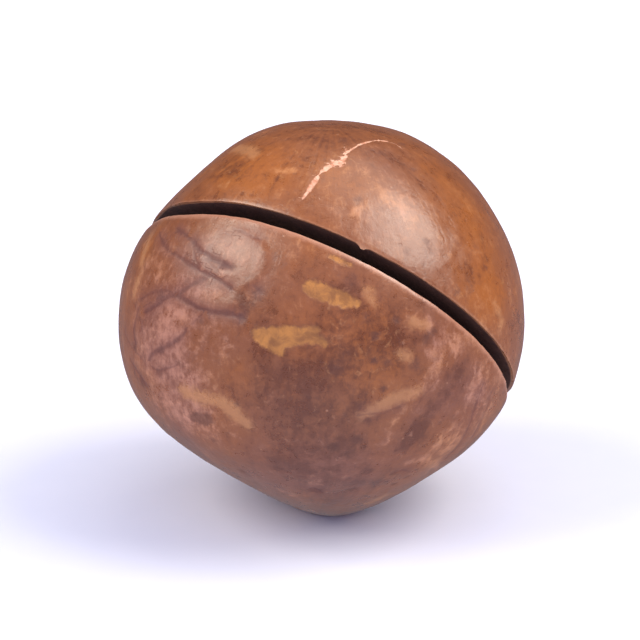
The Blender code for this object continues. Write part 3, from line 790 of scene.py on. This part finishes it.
def lay_out(mesh, p, d, nominal):
    """A UV map for baking: six square patches of the outside, six small ones of the hollow
    and two strips for the slit's sides."""
    n = len(mesh.polygons)
    start, total = np.empty(n, np.int32), np.empty(n, np.int32)
    mesh.polygons.foreach_get("loop_start", start)
    mesh.polygons.foreach_get("loop_total", total)
    vert = np.empty(len(mesh.loops), np.int32)
    mesh.loops.foreach_get("vertex_index", vert)
    face = np.repeat(np.arange(n), total)
    mid = np.zeros((n, 3))
    for k in range(3):
        mid[:, k] = np.bincount(face, p[vert, k], n) / total
    md = unit(mid - CENTRE)
    depth = outer_radius(md) - np.linalg.norm(mid - CENTRE, axis=1)
    normal = np.empty(n * 3, np.float32)
    mesh.polygons.foreach_get("normal", normal)
    normal = normal.reshape(-1, 3).astype(float)
    facing = (normal * md).sum(1)
    s = (mid - CENTRE) @ SLIT_N - SLIT_OFFSET
    kind = np.where(facing < -0.5, 1, 0)
    kind = np.where((depth > 0.16) & (np.abs(s) < SLIT_WIDTH / 2 + 0.35) & (facing > -0.5), 2, kind)
    kind = np.where((kind == 2) & ((normal @ SLIT_N) > 0), 3, kind)

    local = np.stack([md @ SLIT_X, md @ SLIT_Y, md @ SLIT_N], 1)
    main = np.abs(local).argmax(1)
    sign = np.sign(local[np.arange(n), main])
    cube = main * 2 + (sign < 0)
    dl = np.stack([d @ SLIT_X, d @ SLIT_Y, d @ SLIT_N], 1)[vert]
    c, m, sg = cube[face], main[face], sign[face]
    axes = {0: (1, 2), 1: (0, 2), 2: (0, 1)}
    uv = np.zeros((len(vert), 2))
    for axis in range(3):
        pick = m == axis
        a, b = axes[axis]
        big = dl[pick, axis] * sg[pick]
        x = np.arctan(dl[pick, a] / big) / (math.pi / 4) * sg[pick]
        y = np.arctan(dl[pick, b] / big) / (math.pi / 4)
        uv[pick] = np.stack((x, y), 1)
    k = kind[face]
    out = np.zeros_like(uv)
    o = k == 0
    col, row = c % 3, c // 3
    half = 0.5 * 0.955 * uv + 0.5
    out[o, 0] = (col[o] + half[o, 0]) / 3
    out[o, 1] = 0.215 + (row[o] + half[o, 1]) * 0.785 / 2
    i = k == 1
    out[i, 0] = (c[i] + half[i, 0]) / 6
    out[i, 1] = half[i, 1] * 0.135
    rel = p[vert] - CENTRE
    ang = np.arctan2(rel @ SLIT_Y, rel @ SLIT_X)
    rad = np.hypot(rel @ SLIT_X, rel @ SLIT_Y)
    for which, low in ((2, 0.140), (3, 0.178)):
        j = k == which
        out[j, 0] = 0.01 + 0.98 * (ang[j] / (2 * math.pi) + 0.5)
        out[j, 1] = low + 0.003 + 0.029 * np.clip((rad[j] - 8.6) / (13.4 - 8.6), 0, 1)
    layer = mesh.uv_layers.new(name="OFBake")
    layer.uv.foreach_set("vector", out.astype(np.float32).ravel())


def make_kernel():
    d, quads = six_patches(48, np.linspace(-math.pi / 4, math.pi / 4, 49), BASIS)
    point = np.clip(d @ -CONE_AXIS, 0, None) ** 24
    r = KERNEL_FILL * (outer_radius(d) - WALL) * (1 + 0.015 * point)
    p = CENTRE - np.array((0, 0, KERNEL_DROP)) + d * r[:, None]
    wrinkle = 0.07 * fbm(p, 4.0, 2, 91) + 0.035 * fbm(p, 1.2, 3, 95)
    # the seam between the kernel's two halves runs round it
    seam = np.abs(d @ unit((0.92, 0.30, 0.25)))
    p = p + d * (wrinkle - 0.10 - 0.10 * np.exp(-(seam * 9.0 / 0.28) ** 2))[:, None]
    ob = add_object("macadamia_kernel", outward(mesh_from("macadamia_kernel", p, quads)))
    put(ob.data, "seam", seam * 9.0)
    ob.data.shade_smooth()
    return ob


# ======================================================================================
# Materials
# ======================================================================================


def srgb(r, g, b):
    def lin(c):
        c = c / 255.0
        return c / 12.92 if c <= 0.04045 else ((c + 0.055) / 1.055) ** 2.4
    return (lin(r), lin(g), lin(b), 1.0)


class Nodes:
    """A short way to write a node tree."""

    def __init__(self, material):
        material.use_nodes = True
        self.tree = material.node_tree
        self.bsdf = self.tree.nodes["Principled BSDF"]

    def add(self, kind, **props):
        node = self.tree.nodes.new(kind)
        for k, v in props.items():
            setattr(node, k, v)
        return node

    def link(self, a, b):
        if isinstance(a, (int, float)):
            b.default_value = a
        elif isinstance(a, tuple):
            b.default_value = a
        else:
            self.tree.links.new(a, b)

    def attr(self, name):
        return self.add("ShaderNodeAttribute", attribute_name=name).outputs["Fac"]

    def place(self, stretch=(1, 1, 1)):
        """Object coordinates in millimetres."""
        tc = self.add("ShaderNodeTexCoord")
        vm = self.add("ShaderNodeVectorMath", operation="MULTIPLY")
        self.link(tc.outputs["Object"], vm.inputs[0])
        vm.inputs[1].default_value = tuple(1000.0 * s for s in stretch)
        return vm.outputs[0]

    def math(self, op, a, b=0.0, clamp=False):
        n = self.add("ShaderNodeMath", operation=op, use_clamp=clamp)
        self.link(a, n.inputs[0])
        self.link(b, n.inputs[1])
        return n.outputs[0]

    def step(self, value, lo, hi, a=0.0, b=1.0):
        n = self.add("ShaderNodeMapRange", interpolation_type="SMOOTHSTEP")
        self.link(value, n.inputs["Value"])
        n.inputs["From Min"].default_value = lo
        n.inputs["From Max"].default_value = hi
        n.inputs["To Min"].default_value = a
        n.inputs["To Max"].default_value = b
        return n.outputs["Result"]

    def noise(self, place, size, detail=3.0, rough=0.55, warp=0.0, offset=None):
        if offset:
            vm = self.add("ShaderNodeVectorMath", operation="ADD")
            self.link(place, vm.inputs[0])
            vm.inputs[1].default_value = offset
            place = vm.outputs[0]
        n = self.add("ShaderNodeTexNoise", noise_dimensions="3D")
        self.link(place, n.inputs["Vector"])
        n.inputs["Scale"].default_value = 1.0 / size
        n.inputs["Detail"].default_value = detail
        n.inputs["Roughness"].default_value = rough
        n.inputs["Distortion"].default_value = warp
        return n.outputs["Fac"]

    def cells(self, place, size, feature="F1", output="Distance", random=1.0):
        n = self.add("ShaderNodeTexVoronoi", voronoi_dimensions="3D", feature=feature)
        self.link(place, n.inputs["Vector"])
        n.inputs["Scale"].default_value = 1.0 / size
        n.inputs["Randomness"].default_value = random
        return n.outputs[output]

    def mix(self, fac, a, b, blend="MIX"):
        n = self.add("ShaderNodeMix", data_type="RGBA", blend_type=blend, clamp_factor=True)
        self.link(fac, n.inputs[0])
        self.link(a, n.inputs[6])
        self.link(b, n.inputs[7])
        return n.outputs[2]

    def bump(self, height_mm, normal=None, strength=1.0):
        n = self.add("ShaderNodeBump")
        n.inputs["Strength"].default_value = strength
        n.inputs["Distance"].default_value = MM
        self.link(height_mm, n.inputs["Height"])
        if normal is not None:
            self.link(normal, n.inputs["Normal"])
        return n.outputs["Normal"]


def shell_material():
    mat = bpy.data.materials.new("macadamia_shell_wood")
    n = Nodes(mat)
    at = n.place()
    streak = n.add("ShaderNodeAttribute", attribute_name="streak").outputs["Vector"]
    depth, tone, hue = n.attr("depth"), n.attr("tone"), n.attr("hue")

    def centred(value, amount):
        return n.math("MULTIPLY", n.math("SUBTRACT", value, 0.5), amount)

    # broad colour: reddish brown, drifting to orange tan and to mauve
    broad = n.noise(at, 5.0, 3, 0.55, 0.4)
    mid = n.noise(at, 1.7, 4, 0.6, 0.6, (7, 3, 1))
    fine = n.noise(at, 0.42, 4, 0.65, 0.3, (1, 9, 4))
    grain = n.noise(at, 0.14, 2, 0.6, 0.0, (5, 2, 8))
    bands = n.noise(streak, 1.15, 4, 0.6, 0.5, (3, 3, 9))
    fibre = n.noise(streak, 0.30, 3, 0.6, 0.2, (13, 3, 2))
    warm = n.math("ADD", hue, centred(n.noise(at, 4.2, 2, 0.5, 0.3, (31, 7, 5)), 1.2))
    warm = n.math("ADD", warm, centred(n.noise(at, 0.9, 4, 0.65, 0.6, (3, 27, 5)), 0.8))
    col = n.mix(n.step(warm, -0.9, 0.1), srgb(131, 80, 60), srgb(142, 82, 46))
    col = n.mix(n.step(warm, 0.0, 1.0), col, srgb(164, 92, 34))

    # light and dark: random mottling plus the measured tones and strokes, a few of which are painted highlights where
    # the softboxes reflect
    patchy = n.step(n.noise(at, 1.1, 3, 0.6, 0.7, (41, 3, 7)), 0.25, 0.75, 0.80, 1.20)
    light = n.math("ADD", n.math("MULTIPLY", tone, patchy), centred(broad, 0.9))
    light = n.math("ADD", light, centred(mid, 1.35))
    light = n.math("ADD", light, centred(bands, 1.5))
    light = n.math("ADD", light, centred(fine, 2.0))
    light = n.math("ADD", light, centred(fibre, 0.7))
    light = n.math("ADD", light, centred(grain, 0.30))
    col = n.mix(n.step(light, 0.0, -1.2, 0.0, 0.78), col, srgb(96, 49, 32))
    bright = n.mix(n.step(warm, -0.6, 0.5), srgb(196, 136, 108), srgb(204, 136, 80))
    col = n.mix(n.step(light, 0.0, 1.2, 0.0, 0.78), col, bright)

    # freckles of darker and of paler skin
    freckle = n.step(n.noise(at, 0.55, 4, 0.65, 0.8, (3, 17, 6)), 0.56, 0.70)
    col = n.mix(n.math("MULTIPLY", freckle, 0.18), col, srgb(112, 64, 46))
    pale = n.step(n.noise(at, 0.75, 5, 0.66, 0.9, (23, 5, 12)), 0.58, 0.72)
    col = n.mix(n.math("MULTIPLY", pale, 0.32), col, n.mix(n.step(warm, -0.6, 0.5), srgb(194, 138, 110), srgb(204, 144, 90)))

    # dots: small, round, of uneven size, gathered in places
    def dots(size, big, offset, lo, hi):
        vm = n.add("ShaderNodeVectorMath", operation="ADD")
        n.link(at, vm.inputs[0])
        vm.inputs[1].default_value = offset
        v = n.add("ShaderNodeTexVoronoi", voronoi_dimensions="3D", feature="F1")
        n.link(vm.outputs[0], v.inputs["Vector"])
        v.inputs["Scale"].default_value = 1.0 / size
        lump = n.add("ShaderNodeSeparateColor")
        n.link(v.outputs["Color"], lump.inputs[0])
        radius = n.math("MULTIPLY", n.math("POWER", lump.outputs[0], 2.0), big)
        inside = n.math("SUBTRACT", radius, v.outputs["Distance"])
        where = n.step(n.noise(at, 2.4, 3, 0.6, 0.5, offset), lo, hi)
        return n.math("MULTIPLY", n.step(inside, 0.0, 0.07), where)

    dark_dots = dots(0.80, 0.26, (9, 30, 3), 0.42, 0.58)
    col = n.mix(n.math("MULTIPLY", dark_dots, 0.24), col, srgb(96, 50, 34))
    pale_dots = dots(0.66, 0.22, (19, 13, 33), 0.46, 0.60)
    col = n.mix(n.math("MULTIPLY", pale_dots, 0.28), col, srgb(206, 152, 116))

    # measured marks
    ragged = n.noise(at, 0.34, 4, 0.68, 0.6, (8, 8, 1))
    spot = n.math("ADD", n.attr("spot"), centred(ragged, 1.0))
    spot = n.math("MULTIPLY", n.step(spot, 0.08, 0.70), n.step(n.attr("spot"), 0.03, 0.25))
    col = n.mix(n.math("MULTIPLY", spot, 0.62), col, srgb(98, 50, 32))

    jag = centred(n.noise(at, 0.40, 4, 0.68, 0.5, (4, 4, 14)), 0.9)
    tan = n.math("ADD", n.attr("tan"), n.math("MULTIPLY", jag, 1.3))
    col = n.mix(n.step(tan, 0.36, -0.30, 0.0, 0.62), col, srgb(192, 132, 82))
    fleck = n.math("ADD", n.attr("fleck"), n.math("MULTIPLY", jag, 0.62))
    inside = n.step(fleck, 0.12, -0.14)
    clouds = n.step(n.noise(at, 0.9, 3, 0.6, 0.6, (19, 2, 2)), 0.30, 0.70)
    ochre = n.mix(clouds, srgb(146, 88, 24), srgb(200, 130, 44))
    rim = n.math("MULTIPLY", n.step(fleck, 0.24, 0.06), n.step(fleck, -0.10, 0.06))
    col = n.mix(n.math("MULTIPLY", rim, 0.35), col, srgb(122, 72, 44))
    col = n.mix(n.math("MULTIPLY", inside, 0.85), col, ochre)

    vein = n.math("ABSOLUTE", n.attr("vein"))
    vein = n.math("ADD", vein, centred(n.noise(at, 0.28, 3, 0.6, 0.0, (6, 6, 6)), 1.3))
    halo = n.math("MULTIPLY", n.attr("vein_halo"), n.step(ragged, 0.2, 0.6, 0.6, 1.2))
    core = n.math("MULTIPLY", n.step(vein, 2.1, 0.2), n.attr("vein_strength"))
    col = n.mix(n.math("MULTIPLY", halo, 0.40), col, srgb(122, 68, 56))
    col = n.mix(n.math("MULTIPLY", core, 0.58), col, srgb(96, 48, 40))

    scar = n.math("ABSOLUTE", n.attr("scar"))
    scar = n.math("ADD", scar, centred(n.noise(at, 0.22, 3, 0.65, 0.0, (12, 1, 6)), 1.5))
    ss = n.attr("scar_strength")
    scarred = n.math("MULTIPLY", n.step(scar, 1.35, 0.55), n.step(ss, 0.1, 0.6))
    col = n.mix(n.math("MULTIPLY", scarred, 0.90), col, n.mix(n.step(ragged, 0.35, 0.62), srgb(212, 138, 98), srgb(250, 196, 158)))

    # lips of the slit: the lower lip has a painted highlight, a pale band where its rounded edge catches the light from
    # above, and the upper lip is a little paler; the cut walls are painted dark as painted shade inside the slit
    # noise that makes the edges of the pale bands along the lips ragged
    lip_wobble = centred(n.noise(at, 0.5, 3, 0.6, 0.0, (1, 1, 30)), 0.30)
    # painted highlight: the pale band along the lower lip stands for light caught by its rounded edge
    col = n.mix(n.step(n.math("ADD", n.attr("lip_low"), lip_wobble), 0.46, 0.06, 0.0, 0.56), col, srgb(206, 148, 116))
    col = n.mix(n.step(n.math("ADD", n.attr("lip_high"), lip_wobble), 0.22, 0.02, 0.0, 0.35), col, srgb(186, 134, 100))
    raw = n.mix(n.noise(at, 0.25, 3, 0.6), srgb(96, 60, 42), srgb(160, 112, 84))
    # painted shade: past a thin band of paler raw shell under the lips, the cut walls are painted dark brown to near
    # black for the shade inside the narrow slit; the same dark colour covers the inside of the hollow
    painted_shade_and_inner_brown = n.mix(n.noise(at, 0.6, 3, 0.6), srgb(58, 32, 24), srgb(104, 60, 42))
    cut = n.mix(n.step(depth, 0.15, 0.25), raw, painted_shade_and_inner_brown)
    cut = n.mix(n.step(n.attr("nub"), 0.10, 0.40), cut, srgb(232, 200, 186))
    col = n.mix(n.step(depth, 0.13, 0.19), col, cut)
    n.link(col, n.bsdf.inputs["Base Color"])

    # sheen: satin, duller in the marks and on the cut
    dull = n.step(depth, 0.13, 0.22)
    rough = n.math("ADD", 0.315, centred(mid, 0.26))
    rough = n.math("ADD", rough, centred(fine, 0.20))
    rough = n.math("ADD", rough, centred(broad, 0.12))
    rough = n.math("ADD", rough, n.math("MULTIPLY", freckle, 0.05))
    rough = n.math("ADD", rough, n.math("MULTIPLY", inside, 0.20))
    rough = n.math("ADD", rough, n.math("MULTIPLY", halo, 0.12))
    rough = n.math("ADD", rough, n.math("MULTIPLY", spot, 0.12))
    rough = n.math("ADD", rough, n.math("MULTIPLY", scarred, 0.15))
    rough = n.math("ADD", rough, n.math("MULTIPLY", dull, 0.5), clamp=True)
    n.link(rough, n.bsdf.inputs["Roughness"])
    n.bsdf.inputs["Specular IOR Level"].default_value = 0.85
    n.bsdf.inputs["Metallic"].default_value = 0.0

    # relief too fine for the mesh, in millimetres
    h = centred(mid, 0.040)
    h = n.math("ADD", h, centred(fine, 0.018))
    h = n.math("ADD", h, centred(bands, 0.020))
    h = n.math("ADD", h, centred(fibre, 0.004))
    h = n.math("SUBTRACT", h, n.math("MULTIPLY", core, 0.012))
    h = n.math("SUBTRACT", h, n.math("MULTIPLY", inside, 0.016))
    h = n.math("SUBTRACT", h, n.math("MULTIPLY", spot, 0.008))
    h = n.math("SUBTRACT", h, n.math("MULTIPLY", dark_dots, 0.010))
    h = n.math("ADD", h, n.math("MULTIPLY", pale_dots, 0.008))
    h = n.math("ADD", h, n.math("MULTIPLY", scarred, 0.014))
    sawn = n.math("MULTIPLY", n.noise(at, 0.10, 2, 0.6, 0.0, (2, 2, 2)), dull)
    h = n.math("ADD", h, n.math("MULTIPLY", sawn, 0.03))
    n.link(n.bump(h), n.bsdf.inputs["Normal"])
    return mat


def kernel_material():
    mat = bpy.data.materials.new("macadamia_kernel_flesh")
    n = Nodes(mat)
    at = n.place()
    a = n.noise(at, 2.4, 4, 0.6, 0.5)
    b = n.noise(at, 0.5, 4, 0.6, 0.3, (5, 3, 9))
    col = n.mix(n.step(a, 0.35, 0.65), srgb(150, 116, 78), srgb(190, 160, 116))
    col = n.mix(n.step(b, 0.52, 0.75, 0.0, 0.5), col, srgb(120, 84, 54))
    col = n.mix(n.step(n.attr("seam"), 0.5, 0.1, 0.0, 0.6), col, srgb(110, 76, 50))
    n.link(col, n.bsdf.inputs["Base Color"])
    n.link(n.math("ADD", 0.42, n.math("MULTIPLY", b, 0.2)), n.bsdf.inputs["Roughness"])
    n.link(n.bump(n.math("ADD", n.math("MULTIPLY", a, 0.05), n.math("MULTIPLY", b, 0.04))), n.bsdf.inputs["Normal"])
    return mat


# ======================================================================================
# Build
# ======================================================================================
shell = make_shell()
shell.data.materials.clear()
shell.data.materials.append(shell_material())
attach(shell, "root")
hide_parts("shell")

kernel = make_kernel()
kernel.data.materials.clear()
kernel.data.materials.append(kernel_material())
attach(kernel, "root")
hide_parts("kernel")

# --- floor --------------------------------------------------------------------------------
bm = bmesh.new()
bmesh.ops.create_grid(bm, x_segments=2, y_segments=2, size=3.0)
floor_mesh = bpy.data.meshes.new("floor")
bm.to_mesh(floor_mesh)
bm.free()
floor = add_object("floor", floor_mesh)
floor.location = (0, 0, -0.00002)
fmat = bpy.data.materials.new("white_table")
fn = Nodes(fmat)
fcol = fn.mix(fn.noise(fn.place(), 3.0, 2, 0.5), (0.865, 0.89, 0.94, 1.0), (0.895, 0.915, 0.96, 1.0))
fn.link(fcol, fn.bsdf.inputs["Base Color"])
fn.bsdf.inputs["Roughness"].default_value = 0.7
fn.bsdf.inputs["Specular IOR Level"].default_value = 0.2
floor_mesh.materials.append(fmat)
floor.visible_glossy = False      # the nuts behind kept the white table out of its limbs

# --- light --------------------------------------------------------------------------------


def softbox(name, direction, strength, degrees, colour):
    data = bpy.data.lights.new(name, "SUN")
    data.energy = strength
    data.angle = math.radians(degrees)
    data.color = colour
    ob = bpy.data.objects.new(name, data)
    bpy.context.scene.collection.objects.link(ob)
    ob.rotation_mode = "QUATERNION"
    ob.rotation_quaternion = Vector(direction).to_track_quat("Z", "Y")
    return ob


softbox("softbox_right", (0.697, -0.053, 0.713), 2.12, 42, (1.0, 0.925, 0.83))
softbox("softbox_top", (0.282, 0.275, 0.918), 0.66, 46, (1.0, 0.925, 0.83))
softbox("softbox_left", (-0.721, -0.172, 0.670), 1.74, 38, (1.0, 0.915, 0.80))

# the room: white behind the table as the camera sees it, and as light a lavender grey that
# is dimmer low down
world = bpy.data.worlds.new("studio")
bpy.context.scene.world = world
world.use_nodes = True
wt = world.node_tree
bg = wt.nodes["Background"]
path = wt.nodes.new("ShaderNodeLightPath")
way = wt.nodes.new("ShaderNodeTexCoord")
split = wt.nodes.new("ShaderNodeSeparateXYZ")
wt.links.new(way.outputs["Generated"], split.inputs[0])


def world_math(op, a, b):
    node = wt.nodes.new("ShaderNodeMath")
    node.operation = op
    for value, socket in ((a, node.inputs[0]), (b, node.inputs[1])):
        if isinstance(value, float):
            socket.default_value = value
        else:
            wt.links.new(value, socket)
    return node.outputs[0]


half_up = world_math("MULTIPLY_ADD", split.outputs["Z"], 0.5)
half_up.node.inputs[2].default_value = 0.5
height = wt.nodes.new("ShaderNodeValToRGB")
wt.links.new(half_up, height.inputs[0])
ramp = height.color_ramp
while len(ramp.elements) < 6:
    ramp.elements.new(0.5)
for element, (where, grey, blue) in zip(ramp.elements, (
        (0.0, 0.38, 1.15), (0.33, 0.25, 1.15), (0.48, 0.11, 1.05), (0.60, 0.07, 0.9), (0.80, 0.20, 0.85), (1.0, 0.36, 0.85))):
    element.position, element.color = where, (grey, grey * 0.97, grey * blue, 1.0)
ahead = world_math("MAXIMUM", world_math("MULTIPLY", split.outputs["Y"], -1.0), 0.0)
bg.inputs["Color"].default_value = (0.56, 0.62, 1.0, 1.0)
wt.links.new(world_math("ADD", world_math("MULTIPLY", ahead, 0.80), 0.60), bg.inputs["Strength"])
reflected = wt.nodes.new("ShaderNodeBackground")
wt.links.new(height.outputs[0], reflected.inputs["Color"])
wt.links.new(world_math("ADD", world_math("MULTIPLY", ahead, 0.55), 1.0), reflected.inputs["Strength"])
lit = wt.nodes.new("ShaderNodeMixShader")
wt.links.new(path.outputs["Is Glossy Ray"], lit.inputs[0])
wt.links.new(bg.outputs[0], lit.inputs[1])
wt.links.new(reflected.outputs[0], lit.inputs[2])
seen_bg = wt.nodes.new("ShaderNodeBackground")
seen_bg.inputs["Color"].default_value = (1, 1, 1, 1)
seen_bg.inputs["Strength"].default_value = 1.0
mixer = wt.nodes.new("ShaderNodeMixShader")
wt.links.new(path.outputs["Is Camera Ray"], mixer.inputs[0])
wt.links.new(lit.outputs[0], mixer.inputs[1])
wt.links.new(seen_bg.outputs[0], mixer.inputs[2])
wt.links.new(mixer.outputs[0], wt.nodes["World Output"].inputs["Surface"])

bpy.context.scene.view_settings.view_transform = "Standard"
bpy.context.scene.view_settings.look = "None"
bpy.context.scene.view_settings.exposure = 0.0

# --- camera -------------------------------------------------------------------------------
camera_data = bpy.data.cameras.new("camera")
camera_data.lens = 450.0
camera_data.sensor_width = 36.0
camera_data.clip_start, camera_data.clip_end = 0.01, 10.0
camera = bpy.data.objects.new("camera", camera_data)
bpy.context.scene.collection.objects.link(camera)
aim = Vector((-0.00035, 0.0, 0.0121))
camera.location = aim + Vector(BACK) * 0.500
camera.rotation_mode = "QUATERNION"
camera.rotation_quaternion = (-Vector(BACK)).to_track_quat("-Z", "Y")
bpy.context.scene.camera = camera

bpy.context.view_layer.update()
